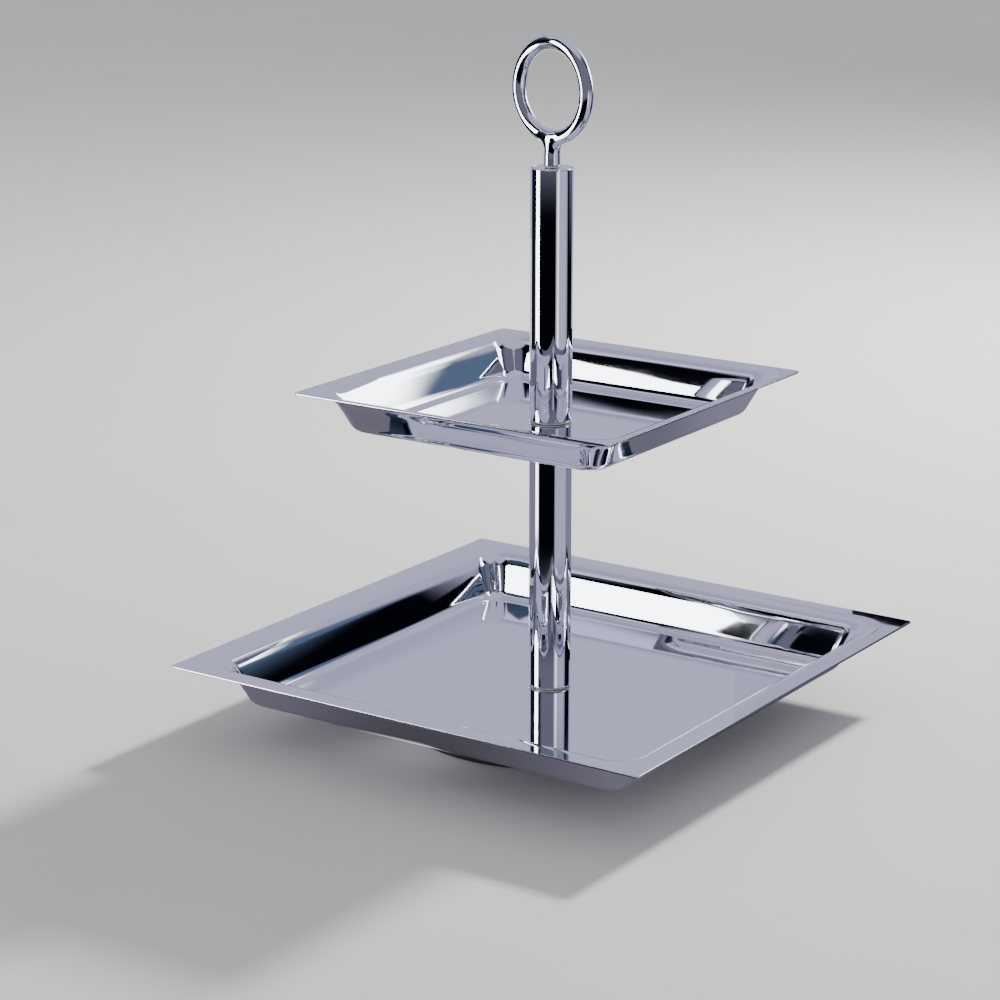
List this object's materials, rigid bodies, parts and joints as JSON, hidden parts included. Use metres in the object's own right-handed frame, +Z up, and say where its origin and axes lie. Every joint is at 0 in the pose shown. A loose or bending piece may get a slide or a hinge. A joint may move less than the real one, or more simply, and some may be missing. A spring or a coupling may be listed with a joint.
{
  "type": "tiered cake stand",
  "caption": "Two-tier cake stand with square dished metal trays on a tube column, a round dish foot and a ring handle on a short stem.",
  "frame": {"origin": "on the column's axis, at the surface the stand rests on", "axes": "+Z up the column, +X and +Y along the trays' sides"},
  "size_m": [0.3, 0.3, 0.3833],
  "materials": {
    "polished_chrome": "mirror-polished",
    "zinc_steel": "bright zinc plated",
    "clear_nylon": "translucent, matte",
    "black_rubber": "matte"
  },
  "bodies": {
    "base": {"foot": "polished_chrome", "foot_edge_trim": "black_rubber", "foot_bolt": "zinc_steel", "foot_bolt_washer": "zinc_steel", "foot_lock_washer": "zinc_steel", "foot_washer": "clear_nylon", "lower_column_washer": "clear_nylon", "lower_tube": "polished_chrome", "lower_tube_bottom_plug": "polished_chrome", "lower_tube_top_plug": "polished_chrome", "joining_stud": "zinc_steel", "upper_tray_lower_washer": "clear_nylon"},
    "lower_tray": {"lower_tray": "polished_chrome"},
    "upper_tray": {"upper_tray": "polished_chrome"},
    "upper_column_lift": {"upper_tray_upper_washer": "clear_nylon"},
    "upper_column": {"upper_tube": "polished_chrome", "upper_tube_bottom_plug": "polished_chrome", "upper_tube_top_plug": "polished_chrome"},
    "handle_lift": {"handle_washer": "clear_nylon"},
    "handle": {"ring_handle": "polished_chrome", "handle_stud": "zinc_steel"}
  },
  "joints": [
    {"name": "lower_tray_turn", "type": "hinge", "parent": "base", "child": "lower_tray", "pos_m": [0, 0, 0.0204], "axis": [0, 0, 1], "continuous": true},
    {"name": "upper_tray_turn", "type": "hinge", "parent": "base", "child": "upper_tray", "pos_m": [0, 0, 0.1729], "axis": [0, 0, 1], "continuous": true},
    {"name": "upper_tube_rise", "type": "slide", "parent": "base", "child": "upper_column_lift", "axis": [0, 0, 1], "range_m": [0, 0.0075]},
    {"name": "upper_tube_unscrew", "type": "hinge", "parent": "upper_column_lift", "child": "upper_column", "pos_m": [0, 0, 0.18], "axis": [0, 0, 1], "range_deg": [0, 2160]},
    {"name": "handle_rise", "type": "slide", "parent": "upper_column", "child": "handle_lift", "axis": [0, 0, 1], "range_m": [0, 0.01]},
    {"name": "handle_unscrew", "type": "hinge", "parent": "handle_lift", "child": "handle", "pos_m": [0, 0, 0.32], "axis": [0, 0, 1], "range_deg": [0, 3600]}
  ],
  "couplings": [
    {"joint": "upper_tube_rise", "follows": "upper_tube_unscrew", "m_per_rad": 0.00019894},
    {"joint": "handle_rise", "follows": "handle_unscrew", "m_per_rad": 0.00015915}
  ]
}
